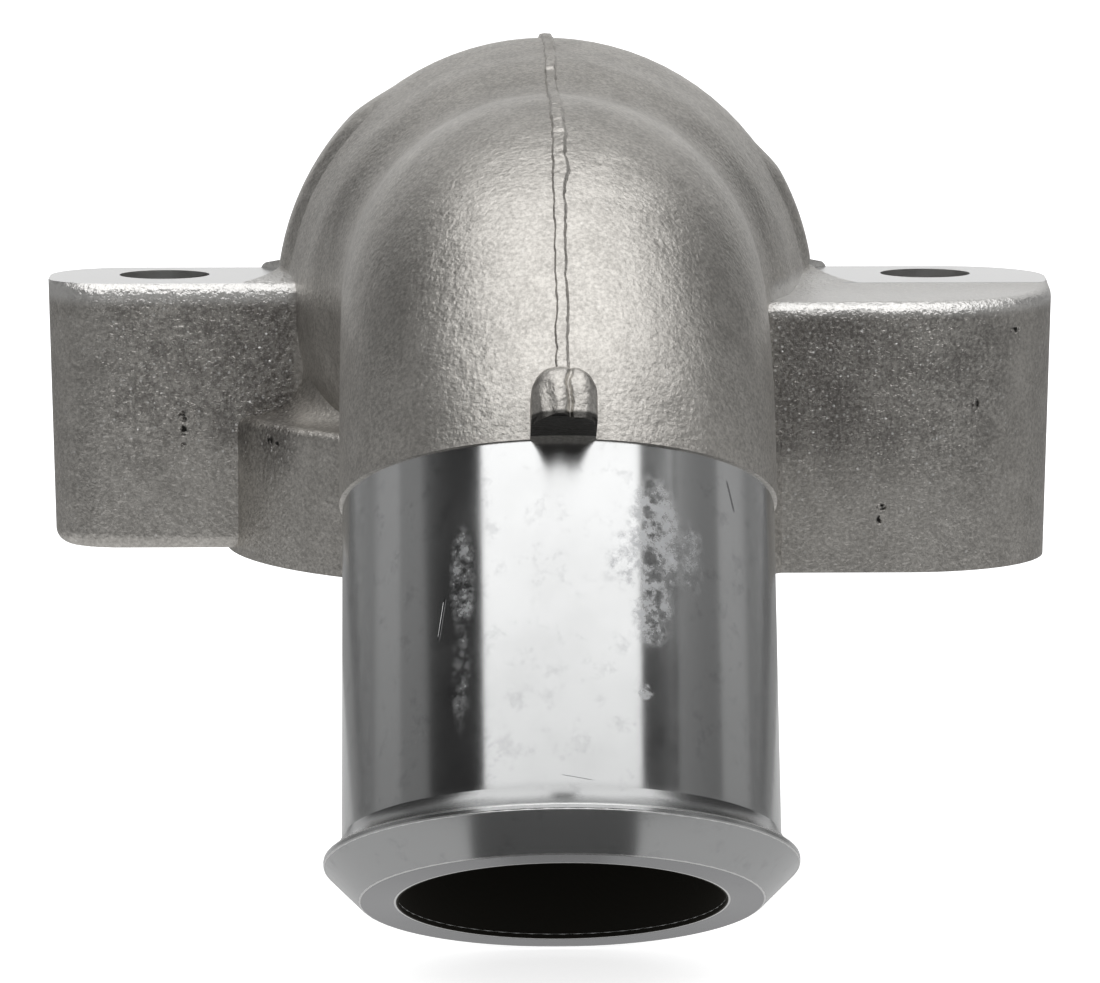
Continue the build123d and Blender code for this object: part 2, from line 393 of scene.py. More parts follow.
def turned_profile(sizes):
    """The spigot's turned outline as (along, radius), in millimetres, closed inside the wall.

    From the shoulder it is a straight line, an arc that hollows the ramp, the bead's land, the
    chamfer, the flat mouth face and the lip of the bore, with every corner cut by a broken edge.
    The ramp is two skins less hollow than the solid's, so that no facet shows through it.
    """
    sizes = in_mm(sizes)
    skin = sizes.skin
    radius = sizes.radius + skin
    bead = sizes.bead_radius + skin
    edge = sizes.edge
    bead_end = SPIGOT_LENGTH - sizes.chamfer
    bead_start = bead_end - sizes.bead_land
    ramp_start = bead_start - sizes.bead_ramp
    rounding = sizes.bead_ramp_rounding
    chord = np.array((bead_start - ramp_start, bead - radius))
    half = hypot(*chord) / 2
    sag = rounding - (rounding**2 - half**2) ** 0.5 - 2 * skin
    share = np.linspace(0, 1, 15)
    bow = np.array((chord[1], -chord[0])) / (2 * half)
    ramp = (ramp_start, radius) + share[:, None] * chord + (4 * share * (1 - share))[:, None] * sag * bow
    mouth = SPIGOT_LENGTH + skin
    mouth_radius = sizes.mouth_radius
    lip = BORE_RADIUS - skin
    tuck, depth = -0.25, 1.6
    corners = [
        (tuck, radius - depth),
        (tuck, radius),
        *ramp[:-1].tolist(),
        (bead_start, bead - edge),
        (bead_start + edge, bead),
        (bead_end - edge, bead),
        (bead_end + edge, bead - edge),
        (mouth - edge, mouth_radius + edge),
        (mouth, mouth_radius - edge),
        (mouth, lip + 3 * edge),
        (mouth - 2 * edge, lip + edge),
        (mouth - 3.5 * edge, lip),
        (mouth - 4.5 * edge, lip + 1.0),
    ]
    return np.array(corners)


def turned_grid(profile, around):
    """Surface of revolution about the spigot's axis.

    A point is start + along * axis + radius * (front cos t + right sin t).
    """
    t = np.linspace(-pi, pi, around, endpoint=False)
    outward = np.cos(t)[:, None] * SPIGOT_FRONT + np.sin(t)[:, None] * RIGHT
    return SPIGOT_START + profile[:, None, :1] * SPIGOT_AXIS + profile[:, None, 1:] * outward


def lay_turning_map(piece, profile, around):
    """UV map of a turned skin: U is the way along its profile in millimetres, V the share of a turn."""
    travelled = np.concatenate(([0], np.cumsum(np.linalg.norm(np.diff(profile, axis=0), axis=1))))
    turn = np.arange(around) / around
    places = np.stack(np.broadcast_arrays(travelled[:, None], turn[None, :]), axis=-1).reshape(-1, 2)
    mesh = piece.data
    corners = np.empty(len(mesh.loops), np.int32)
    mesh.loops.foreach_get("vertex_index", corners)
    mesh.uv_layers.new(name="turning").data.foreach_set("uv", places[corners].ravel())


def pad_grid(sizes, side, low, high, steps=72):
    """A pad's soft skin on the side of the ball.

    Over the plane of forward f and up u the radius is the ball's plus the pad's height times a
    smooth step of the distance from its rounded outline, and x = side * sqrt(r^2 - f^2 - u^2).
    A second layer under the ball's skin closes it.
    """
    sizes = in_mm(sizes)
    soft = sizes.soft
    back, front, corner = sizes.back, sizes.front, sizes.corner
    f = np.linspace(-back - soft, front + soft, steps)
    u = np.linspace(low - soft, high + soft, steps)
    f, u = np.meshgrid(f, u)
    beyond_f = np.maximum(np.maximum(f - front, -back - f) + corner, 0)
    beyond_u = np.maximum(np.maximum(u - high, low - u) + corner, 0)
    beyond = np.hypot(beyond_f, beyond_u) - corner
    lift = smooth_step(1 - (beyond - 0.1) / soft)
    radius = BULB_RADIUS - 0.04 + (sizes.proud + 0.04) * lift
    grids = []
    for r in (radius, np.full_like(radius, BULB_RADIUS - 0.5)):
        x = side * np.sqrt(np.clip(r**2 - f**2 - (u - BULB_HEIGHT) ** 2, 0, None))
        grids.append(in_space(np.stack((f, u), axis=-1), x))
    return grids


def two_layers(name, outer, inner):
    """A closed shell from two grids of the same shape: the two layers and the rim that joins them."""
    rows, columns = outer.shape[:2]
    count = rows * columns
    index = np.arange(count).reshape(rows, columns)
    rim = np.concatenate((index[0, :-1], index[:-1, -1], index[-1, :0:-1], index[:0:-1, 0]))
    ahead = np.roll(rim, -1)
    wall = np.stack((rim, rim + count, ahead + count, ahead), axis=-1)
    top = grid_quads(rows, columns)
    faces = np.concatenate((top, top[:, ::-1] + count, wall))
    points = np.concatenate((outer.reshape(-1, 3), inner.reshape(-1, 3)))
    return smooth_piece(name, points, faces.tolist())


# Where the flash line runs: millimetres travelled from the back of the neck, sideways offset
# and half width there
FLASH_WAY = (
    (0, 0.0, 0.5),
    (36, 0.1, 0.62),
    (40, 0.1, 0.76),
    (44, 0.16, 0.58),
    (50, 0.3, 0.58),
    (60, 0.16, 0.54),
    (76, 0.1, 0.58),
    (86, 0.24, 0.66),
    (93, 0.18, 0.66),
    (95.8, 0.26, 0.8),
    (98.5, 0.04, 0.6),
    (108, 0.04, 0.54),
    (117, 0.05, 0.62),
    (125, 0.05, 0.6),
)


def smooth_step(value):
    """0 below 0, 1 above 1 and 3 v^2 - 2 v^3 between."""
    held = np.clip(value, 0, 1)
    return held * held * (3 - 2 * held)


def flash_grid(sizes, spacing=0.16, across=22):
    """The flash line: a low, soft ridge carried along the casting's outline.

    Across it, with u from -1 to 1, the height is the local height and a little grit, times a smooth
    step up over the left part and a longer one down on the right. Place and width follow FLASH_WAY.
    Place, width and height vary by small sums of sines. Three points close the ridge underneath.
    """
    sizes = in_mm(sizes)
    along, points, normal = parting_profile(spacing)
    way, offset, half_width = np.array(FLASH_WAY).T
    middle = np.interp(along, way, offset) + sizes.wander * ripple(along, 3, 11.0, 1.6)
    width = np.interp(along, way, half_width) * (1 + 0.07 * ripple(along, 8, 6.0, 0.9))
    height = sizes.height * (1 + 0.16 * ripple(along, 5, 9.0, 0.8))
    height *= 1 + 0.65 * smooth_step((96 - along) / 16)
    height *= np.clip(np.minimum(along, along[-1] - along + 0.4) / 1.2, 0, 1) ** 0.5
    u = np.linspace(-1, 1, across)
    swell = smooth_step((1 + u) / 0.28) * smooth_step((1 - u) / 0.5)
    grit = ripple(along[:, None] + 0.9 * u * width[:, None], 21, 1.9, 0.55)
    top = (height[:, None] + sizes.grit * grit) * swell - sizes.sink
    under = np.full((len(along), 3), -sizes.foot)
    lift = np.concatenate((top, under), axis=1)
    side = middle[:, None] + width[:, None] * np.concatenate((u, (0.8, 0.0, -0.8)))
    flat = points[:, None, :] + lift[..., None] * normal[:, None, :]
    return in_space(flat, side)


def lug_grid(sizes, stations=84, over=132, under=16):
    """The lug's skin: sections carried along the spigot, from its arched far end to its cut end.

    A section is a superellipse |x/a|^5 + |z/h|^5 = 1 over the pipe, with a flat foot below it. Half
    width a and height h follow the far end's arch, the face has a low rib, a crack that wanders
    down it and two sums of sines, and its cut end carries a burr and a fine step.
    """
    sizes = in_mm(sizes)
    length = sizes.length
    share = np.linspace(0, 1, stations)[:, None]
    along = -length * np.cos(0.5 * pi * share)
    belly = sizes.belly
    past = np.clip((-along - belly) / (length - belly), 0, 1)
    narrowing = 1 - 0.055 * np.clip(belly + along, 0, None)
    half = 0.5 * sizes.width * (1 - past**2.6) ** (1 / 2.6) * narrowing
    height = sizes.height * (1 - past**5) ** 0.2
    t = np.concatenate((np.linspace(0, pi, over), np.linspace(pi, 2 * pi, under + 2)[1:-1]))[None, :]
    reach = (np.abs(np.cos(t)) ** 5 + np.abs(np.sin(t)) ** 5) ** -0.2
    across = half * reach * np.cos(t)
    up = np.where(np.sin(t) >= 0, height * reach * np.sin(t), sizes.root * reach * np.sin(t))
    face = smooth_step((up - 0.72 * height) / (0.2 * height + 0.01))
    rib = 0.3 * np.exp(-(((across + 0.45) / 0.75) ** 2))
    crack_line = 0.44 + 0.1 * ripple(along, 11, 5.0, 1.2)
    crack = sizes.crack * np.exp(-(((across - crack_line) / sizes.crack_width) ** 2))
    uneven = 0.035 * ripple(along + 0.5 * across, 15, 4.4, 1.2)
    uneven = uneven + 0.03 * ripple(across - 0.3 * along, 17, 4.0, 1.3)
    up = up + face * (rib + uneven - crack)
    across = across * (0.93 + 0.07 * np.clip(up, 0, None) / height.max())
    burr = 0.34 * smooth_step((np.abs(across + 0.45) - 0.2) / 1.2) * smooth_step((up - 3.6) / 1.6)
    skirt = smooth_step((along + 1.2) / 1.2)
    along = along + skirt * burr
    body = np.stack(np.broadcast_arrays(across, along, up), axis=-1)
    shrink = np.array((0.94, 0.86, 0.7, 0.45, 0.2))[:, None]
    end_across = body[-1, :, 0] * shrink
    end_up = 2.9 + (body[-1, :, 2] - 2.9) * shrink
    step = 0.1 * np.exp(-(((end_up - 2.5) / 0.14) ** 2)) - 0.05
    end = np.stack(np.broadcast_arrays(end_across, step, end_up), axis=-1)
    across, along, up = np.moveaxis(np.concatenate((body, end)), -1, 0)
    return (
        SPIGOT_START + across[..., None] * RIGHT + along[..., None] * SPIGOT_AXIS
        + (PIPE_RADIUS + up)[..., None] * SPIGOT_FRONT
    )


# Materials


class Wiring:
    """Adds nodes to one tree and joins them. An input is a number, a tuple or another node's output."""

    def __init__(self, tree):
        self.tree = tree

    def node(self, kind, inputs=None, **settings):
        made = self.tree.nodes.new(kind)
        for key, value in settings.items():
            setattr(made, key, value)
        for key, value in (inputs or {}).items():
            self.feed(made.inputs[key], value)
        return made

    def feed(self, socket, value):
        if isinstance(value, bpy.types.NodeSocket):
            self.tree.links.new(value, socket)
        else:
            socket.default_value = value

    def worked(self, kind, values, output=0, **settings):
        """One output of a node whose inputs are fed in order."""
        made = self.node(kind, **settings)
        for socket, value in zip(made.inputs, values):
            self.feed(socket, value)
        return made.outputs[output]

    def maths(self, operation, *values, clamp=False):
        return self.worked("ShaderNodeMath", values, operation=operation, use_clamp=clamp)

    def vector(self, operation, *values, output=0):
        return self.worked("ShaderNodeVectorMath", values, output, operation=operation)

    def chain(self, operation, values):
        """One operation over several values, from left to right."""
        made = values[0]
        for value in values[1:]:
            made = self.maths(operation, made, value)
        return made

    def times(self, *values):
        """The product of several numbers."""
        return self.chain("MULTIPLY", values)

    def most(self, *masks):
        """The highest of several masks."""
        return self.chain("MAXIMUM", masks)

    def minus(self, value, less):
        return self.maths("SUBTRACT", value, less)

    def times_plus(self, value, factor, more):
        """value * factor + more."""
        return self.maths("MULTIPLY_ADD", value, factor, more)

    def size(self, value):
        """A number without its sign."""
        return self.maths("ABSOLUTE", value)

    def below(self, value, limit):
        """1 under the limit and 0 over it."""
        return self.maths("LESS_THAN", value, limit)

    def above(self, value, limit):
        """1 over the limit and 0 under it."""
        return self.maths("GREATER_THAN", value, limit)

    def squares(self, a, b):
        """a^2 + b^2."""
        return self.maths("ADD", self.times(a, a), self.times(b, b))

    def span(self, value, low, high):
        """0 at low and 1 at high, with a smooth step between them."""
        inputs = {"Value": value, "From Min": low, "From Max": high}
        return self.node("ShaderNodeMapRange", inputs, interpolation_type="SMOOTHSTEP").outputs["Result"]

    def noise(self, vector, scale, detail=2.0, roughness=0.5):
        inputs = {"Vector": vector, "Scale": scale, "Detail": detail, "Roughness": roughness}
        return self.node("ShaderNodeTexNoise", inputs).outputs["Fac"]

    def mix(self, kind, share, first, second):
        """Goes from first to second as share goes from 0 to 1."""
        inputs = {"Factor": share, "A": first, "B": second}
        return self.node("ShaderNodeMix", inputs, data_type=kind).outputs["Result"]

    def among(self, share, first, second):
        """A number between two others."""
        return self.mix("FLOAT", share, first, second)

    def coat(self, under, share, colour):
        """A colour that is painted over with another by its share."""
        return self.mix("RGBA", share, under, opaque(colour))

    def parts(self, vector):
        """The x, y and z of a vector."""
        apart = self.node("ShaderNodeSeparateXYZ", {"Vector": vector})
        return [apart.outputs[key] for key in "XYZ"]

    def place(self):
        """Object coordinates in millimetres."""
        return self.vector("MULTIPLY", self.node("ShaderNodeTexCoord").outputs["Object"], (1 / MM,) * 3)

    def spot(self, place, centre, size, soft=0.5):
        """1 inside an ellipsoid of half sizes size round centre, fading out over the share soft."""
        scaled = self.vector("DIVIDE", self.vector("SUBTRACT", place, centre), size)
        return self.span(self.vector("LENGTH", scaled, output=1), 1.0, 1.0 - soft)


def opaque(colour):
    """A colour with its fourth number."""
    return (*colour, 1.0)


def new_group(name, inputs, outputs):
    """An empty shader node group with its named sockets, and its two end nodes."""
    tree = bpy.data.node_groups.new(name, "ShaderNodeTree")
    for socket_name, default in inputs:
        socket = tree.interface.new_socket(name=socket_name, in_out="INPUT", socket_type="NodeSocketFloat")
        socket.default_value = default
    for socket_name in outputs:
        tree.interface.new_socket(name=socket_name, in_out="OUTPUT", socket_type="NodeSocketFloat")
    wiring = Wiring(tree)
    return wiring, wiring.node("NodeGroupInput"), wiring.node("NodeGroupOutput")


def spigot_place_group():
    """Where a point lies on the spigot: millimetres past the shoulder, distance from its axis, angle."""
    wiring, _, result = new_group("spigot_place", (), ("Along", "Radius", "Angle"))
    turned = wiring.node(
        "ShaderNodeMapping",
        {"Vector": wiring.place(), "Location": SPIGOT_START.tolist(), "Rotation": (-LEAN, 0.0, 0.0)},
        vector_type="TEXTURE",
    )
    x, y, z = wiring.parts(turned.outputs["Vector"])
    wiring.feed(result.inputs["Along"], wiring.times(z, -1.0))
    wiring.feed(result.inputs["Radius"], wiring.maths("SQRT", wiring.squares(x, y)))
    wiring.feed(result.inputs["Angle"], wiring.maths("ARCTAN2", x, wiring.times(y, -1.0)))
    return wiring.tree


def blasted_grain_group():
    """Shot-blasted metal: its height, its uneven tone, and painted glints: single grains painted bright.

    Fine grit lies over shallow swells everywhere, and the coarse, pitted skin comes in by Share.
    """
    wiring, start, result = new_group(
        "blasted_grain", (("Fine", 0.1), ("Coarse", 0.2), ("Share", 0.0)), ("Height", "Tone", "Glint")
    )
    place = wiring.place()
    fine, coarse, share = (start.outputs[key] for key in ("Fine", "Coarse", "Share"))
    grit = wiring.noise(place, 2.9, 2.0, 0.6)
    grains = wiring.noise(place, 1.8, 2.5, 0.6)
    swell = wiring.noise(place, 0.42, 2.0, 0.5)
    height = wiring.times(grit, wiring.times(fine, wiring.times_plus(share, 0.6, 0.45)))
    height = wiring.times_plus(grains, wiring.times_plus(share, coarse, fine), height)
    height = wiring.times_plus(swell, wiring.times(fine, 1.6), height)
    wiring.feed(result.inputs["Height"], height)
    speckle = wiring.noise(wiring.vector("ADD", place, (31.0, 7.0, 13.0)), 2.7, 4.0, 0.72)
    patches = wiring.noise(wiring.vector("ADD", place, (5.0, 43.0, 23.0)), 0.3, 3.0, 0.6)
    tone = wiring.maths("ADD", wiring.times(speckle, 0.75), wiring.times(patches, 0.25))
    wiring.feed(result.inputs["Tone"], tone)
    # Painted glints: single grains painted bright, whatever the light
    cells = wiring.node("ShaderNodeTexVoronoi", {"Vector": place, "Scale": 3.1}, feature="F1")
    chance = wiring.node("ShaderNodeSeparateColor", {"Color": cells.outputs["Color"]}).outputs["Red"]
    bright = wiring.span(chance, wiring.times_plus(share, -0.05, 0.95), 1.0)
    painted_glint = wiring.times(bright, wiring.span(cells.outputs["Distance"], 0.55, 0.2))
    wiring.feed(result.inputs["Glint"], painted_glint)
    return wiring.tree


def principled(wiring, material, **inputs):
    """Feeds the material's own shader; the keys are its sockets' names with spaces as underscores."""
    shader = material.node_tree.nodes["Principled BSDF"]
    for key, value in inputs.items():
        wiring.feed(shader.inputs[key.replace("_", " ")], value)
    return shader


def new_material(name):
    """A material with its tree on, and the wiring for it."""
    material = bpy.data.materials.new(name)
    material.use_nodes = True
    return material, Wiring(material.node_tree)


def bump(wiring, height, strength=1.0):
    """Normal from a height in millimetres."""
    made = wiring.node("ShaderNodeBump", {"Height": height, "Strength": strength, "Distance": MM})
    return made.outputs["Normal"]


# Turn of the cutter's rings on a milled face, in radians per millimetre, and their height
RING_TURN = 26.0
RING_HEIGHT = 0.0015


def milled_mask(wiring, place):
    """1 on the spot faces, the mating face, the insert's seat and in the bolt holes.

    Also gives the distance from the port's axis, and the cutter's rings round each bolt.
    """
    x, y, z = wiring.parts(place)
    bolt_x = wiring.minus(wiring.size(x), BOLT_SPACING / 2)
    inward = wiring.maths("MINIMUM", bolt_x, 0.0)
    from_slot, from_bolt, from_port = (
        wiring.maths("SQRT", wiring.squares(sideways, y)) for sideways in (inward, bolt_x, x)
    )
    level = wiring.below(wiring.size(wiring.minus(z, EAR_HEIGHT)), LEVEL_SLACK)
    spot_face = wiring.times(level, wiring.below(from_slot, SPOT_FACE_REACH))
    hole = wiring.below(from_bolt, BOLT_HOLE_RADIUS + FACE_SLACK)
    mating = wiring.below(z, LEVEL_SLACK)
    in_seat = wiring.below(from_port, SEAT_RADIUS + FACE_SLACK)
    seat = wiring.times(in_seat, wiring.below(z, SEAT_DEPTH + LEVEL_SLACK))
    rings = wiring.maths("SINE", wiring.times(from_bolt, RING_TURN))
    return wiring.most(spot_face, hole, mating, seat), from_port, rings


# Pores: the centre and the half sizes of each, in millimetres; their dip is a bump and their near-black
# colour is painted shade
PORES = (
    ((-34.65, -9.4, 13.3), (0.55, 1.2, 0.75)),
    ((-34.7, -9.4, 12.0), (0.4, 1.2, 0.7)),
    ((-34.7, -9.4, 10.6), (0.3, 1.0, 0.3)),
    ((30.95, -22.2, 6.2), (0.55, 1.2, 0.42)),
    ((30.75, -22.2, 5.0), (0.3, 1.0, 0.55)),
    ((39.8, -20.9, 15.7), (0.5, 1.0, 0.8)),
    ((43.7, -18.3, 22.4), (0.7, 1.0, 0.4)),
    ((-26.3, -16.4, 11.9), (0.5, 1.0, 0.6)),
    ((-25.6, -17.6, 11.7), (0.35, 1.0, 0.35)),
)

# Whitish smears on the spigot: millimetres past the shoulder, degrees round from the front,
# half length, half turn and amount
SMEARS = (
    (8.5, 24.0, 6.5, 9.0, 0.8),
    (14.0, 23.0, 4.5, 7.0, 0.8),
    (10.5, 15.0, 3.0, 5.0, 0.6),
    (9.7, 35.0, 4.0, 5.0, 0.55),
    (11.8, -27.0, 5.5, 4.2, 0.5),
    (20.0, -27.4, 6.0, 3.4, 0.3),
    (21.9, 20.9, 0.8, 2.5, 0.8),
)

# Scratches on the spigot: millimetres past the shoulder, degrees round, half length and slant
SCRATCHES = (
    (3.0, 49.7, 1.5, 0.02),
    (29.6, 2.9, 0.25, 0.3),
    (15.0, -33.0, 2.0, -0.01),
)


# Masks of the ears' coarse, pitted skin, each from where it is absent to where it is full, in
# millimetres: from the ear's end towards the bulb, out past the neck, up from the foot and down
# from just over the ear's top. The neck's mask is centred NECK_OFFSET to the left of the middle.
COARSE_OUT = (49.5, 44.0)
COARSE_PAST_NECK = (21.25, 23.25)
COARSE_UP = (10.0, 18.0)
COARSE_OVER_EAR = (EAR_HEIGHT + 1.5, EAR_HEIGHT + 0.2)
NECK_OFFSET = 1.75

# How far its edge wanders, outwards and upwards
RAGGED_OUT = 9.0
RAGGED_UP = 8.0

# In the same way, the painted highlight on the rim of the ears' tops, upwards, the painted shade on the
# ears' fronts beside the bulb, towards it, and the painted shade on the lug's cut end, along the spigot
# and out from its axis
PAINTED_RIM_HIGHLIGHT = (EAR_HEIGHT - 2.4, EAR_HEIGHT - 1.0)
BESIDE_BULB = (37.0, 25.0)
LUG_END = (-0.5, -0.2)
LUG_OUT = (PIPE_RADIUS + 0.7, PIPE_RADIUS + 1.0)

PORE_DEPTH = 0.25
BORE_ROUGHNESS = 0.8


def cast_material(finish):
    """Blasted cast skin with pores, the milled faces and the darkened inside, each by its place; it
    carries painted glints, a painted highlight on the ears' rims and painted shade on the ears' fronts, in
    the pores, on the lug's cut end and partly inside.
    """
    material, wiring = new_material("cast_aluminium")
    place = wiring.place()
    spigot = wiring.node("ShaderNodeGroup", node_tree=spigot_place_group())
    along, radius = spigot.outputs["Along"], spigot.outputs["Radius"]
    x, _, z = wiring.parts(place)
    milled, from_port, rings = milled_mask(wiring, place)

    # Coarse, pitted skin on the fronts of the ears, finer towards their ends and feet
    sideways = wiring.size(x)
    ragged = wiring.noise(place, 0.16, 3.0, 0.6)
    near_bulb = wiring.span(wiring.times_plus(ragged, RAGGED_OUT, sideways), *COARSE_OUT)
    past_neck = wiring.span(wiring.size(wiring.maths("ADD", x, NECK_OFFSET)), *COARSE_PAST_NECK)
    past_neck = wiring.times(past_neck, wiring.span(z, *COARSE_OVER_EAR))
    high = wiring.span(wiring.times_plus(ragged, RAGGED_UP, z), *COARSE_UP)
    ear_front = wiring.times(near_bulb, past_neck, high)
    least = wiring.among(past_neck, 0.1, 0.5)
    coarse_share = wiring.maths("MULTIPLY_ADD", ear_front, 0.5, least, clamp=True)
    inputs = {
        "Fine": finish.fine_grain / MM, "Coarse": finish.coarse_grain / MM, "Share": coarse_share
    }
    grain = wiring.node("ShaderNodeGroup", inputs, node_tree=blasted_grain_group())
    grain_tone = grain.outputs["Tone"]

    pores = wiring.most(*(wiring.spot(place, centre, size) for centre, size in PORES))
    pores = wiring.times(pores, wiring.span(wiring.noise(place, 2.2, 2.0), 0.36, 0.6))

    # Inside: the ball-shaped chamber, the port and the spigot's bore
    from_bulb = wiring.vector("LENGTH", wiring.vector("SUBTRACT", place, (0, 0, BULB_HEIGHT)), output=1)
    in_chamber = wiring.below(from_bulb, BULB_RADIUS - WALL + 0.4)
    in_port = wiring.times(
        wiring.below(from_port, NECK_RADIUS - WALL + 0.1),
        wiring.above(z, SEAT_DEPTH + FACE_SLACK),
        wiring.below(z, BULB_HEIGHT),
    )
    in_bore = wiring.times(wiring.below(radius, BORE_RADIUS + 0.15), wiring.above(along, -1.0))
    inside = wiring.most(in_chamber, in_port, in_bore)

    # Colour, from the plain skin to what lies over it
    skin = wiring.coat(opaque(finish.dark_colour), wiring.span(grain_tone, 0.3, 0.7), finish.colour)
    dark_grains = wiring.times(ear_front, wiring.span(grain_tone, 0.62, 0.36))
    # Painted shade: the ears' fronts darkened overall, and more beside the bulb
    shade_by_bulb = wiring.times(wiring.span(sideways, *BESIDE_BULB), ear_front)
    dark = wiring.times_plus(shade_by_bulb, 0.35, wiring.times(ear_front, 0.14))
    skin = wiring.coat(skin, wiring.times_plus(dark_grains, 0.5, dark), finish.ear_grain_and_shade_colour)
    # Painted glints, stronger on the ears' coarse skin
    painted_glint = wiring.times(grain.outputs["Glint"], wiring.times_plus(coarse_share, 0.75, 0.25))
    skin = wiring.coat(skin, painted_glint, finish.painted_highlight_colour)
    # Painted highlight on the rim of the ears' tops
    painted_rim_highlight = wiring.times(past_neck, wiring.span(z, *PAINTED_RIM_HIGHLIGHT))
    skin = wiring.coat(skin, wiring.times(painted_rim_highlight, 0.85), finish.painted_highlight_colour)
    # Painted shade on the lug's cut end
    lug_end_shade = wiring.times(wiring.span(along, *LUG_END), wiring.span(radius, *LUG_OUT))
    skin = wiring.coat(skin, wiring.times(lug_end_shade, 0.85), finish.pore_shade_colour)
    skin = wiring.coat(skin, milled, finish.milled_colour)
    # The inside darkened: partly coolant stain, partly painted shade
    skin = wiring.coat(skin, inside, finish.bore_stain_and_shade_colour)
    # Pores: near-black painted shade
    skin = wiring.coat(skin, pores, finish.pore_shade_colour)

    rough = wiring.among(milled, finish.roughness, finish.milled_roughness)
    rough = wiring.among(inside, rough, BORE_ROUGHNESS)
    cast_height = wiring.times_plus(pores, -PORE_DEPTH, grain.outputs["Height"])
    height = wiring.among(milled, cast_height, wiring.times(rings, RING_HEIGHT))
    normal = bump(wiring, height)
    principled(wiring, material, Base_Color=skin, Metallic=1.0, Roughness=rough, Normal=normal)
    return material


SCRATCH_DEPTH = 0.02
# Where the mouth face's painted shade and the bead come in, from absent to full, in millimetres past the
# shoulder
MOUTH_FACE = (SPIGOT_LENGTH - 0.1, SPIGOT_LENGTH - 0.02)
BEAD_START = (SPIGOT_LENGTH - 6.2, SPIGOT_LENGTH - 5.0)
# How much further the gloss spreads across the turning grooves than along them, from 0 to 1
TURNING_SPREAD = 0.8


def turned_material(finish):
    """Bright turned metal whose gloss spreads across the turning grooves, with smears and scratches,
    painted shade towards the mouth and on the mouth face.
    """
    material, wiring = new_material("turned_aluminium")
    place = wiring.place()
    spigot = wiring.node("ShaderNodeGroup", node_tree=bpy.data.node_groups["spigot_place"])
    along, angle = spigot.outputs["Along"], spigot.outputs["Angle"]

    smear = 0.0
    for t, degrees_round, half_length, half_turn, amount in SMEARS:
        far_along = wiring.maths("DIVIDE", wiring.minus(along, t), half_length)
        far_round = wiring.minus(angle, radians(degrees_round))
        far_round = wiring.maths("DIVIDE", far_round, radians(half_turn))
        patch = wiring.span(wiring.squares(far_along, far_round), 1.0, 0.2)
        smear = wiring.most(smear, wiring.times(patch, amount))
    cloud = wiring.noise(place, 0.36, 6.0, 0.72)
    streaks = wiring.noise(place, 1.15, 8.0, 0.68)
    broken = wiring.span(wiring.times_plus(streaks, 0.6, wiring.times(cloud, 0.4)), 0.43, 0.67)
    smear = wiring.times(smear, broken)

    scratch = 0.0
    for t, degrees_round, length, slant in SCRATCHES:
        way = wiring.minus(along, t)
        line = wiring.minus(wiring.minus(angle, radians(degrees_round)), wiring.times(way, slant))
        thin = wiring.span(wiring.size(line), 0.008, 0.003)
        short = wiring.span(wiring.size(way), length, 0.6 * length)
        scratch = wiring.most(scratch, wiring.times(thin, short))

    # Painted shade: the metal darkens from the shoulder towards the mouth
    shade_towards_mouth = wiring.span(along, 0.0, SPIGOT_LENGTH)
    dull_place = wiring.vector("ADD", place, (3.0, 17.0, 9.0))
    dull = wiring.span(wiring.noise(dull_place, 0.45, 5.0, 0.7), 0.52, 0.72)
    # Painted shade on the flat mouth face
    mouth_face_shade = wiring.span(along, *MOUTH_FACE)
    colour = wiring.coat(opaque(finish.colour), shade_towards_mouth, finish.mouth_shade_colour)
    colour = wiring.coat(colour, wiring.times(dull, 0.22), finish.scratch_and_shade_colour)
    colour = wiring.coat(colour, smear, finish.smear_colour)
    colour = wiring.coat(colour, wiring.times(mouth_face_shade, 0.72), finish.scratch_and_shade_colour)
    colour = wiring.coat(colour, wiring.times(scratch, 0.75), finish.scratch_and_shade_colour)

    haze = wiring.span(wiring.noise(place, 0.14, 3.0, 0.6), 0.35, 0.75)
    rough = wiring.among(haze, finish.roughness, finish.roughness + 0.04)
    rough = wiring.among(wiring.span(along, *BEAD_START), rough, finish.bead_roughness)
    rough = wiring.among(smear, rough, finish.smear_roughness)
    normal = bump(wiring, wiring.times(scratch, -SCRATCH_DEPTH))
    tangent = wiring.node("ShaderNodeTangent", direction_type="UV_MAP", uv_map="turning")
    principled(
        wiring, material, Base_Color=colour, Metallic=wiring.times_plus(smear, -0.85, 1.0),
        Roughness=rough, Normal=normal, Anisotropic=TURNING_SPREAD, Tangent=tangent.outputs["Tangent"],
    )
    return material


# Studio


def glow_material(name, strength):
    """A plain glowing card of one strength."""
    material, wiring = new_material(name)
    nodes = material.node_tree.nodes
    nodes.remove(nodes["Principled BSDF"])
    glow = wiring.node("ShaderNodeEmission", {"Color": (1.0, 1.0, 1.0, 1.0), "Strength": strength})
    wiring.feed(nodes["Material Output"].inputs["Surface"], glow.outputs[0])
    return material


def sheet_piece(name, points, faces, material):
    """A sheet of one material from points in metres."""
    mesh = bpy.data.meshes.new(name)
    mesh.from_pydata(points, [], faces)
    mesh.materials.append(material)
    return placed(name, mesh)


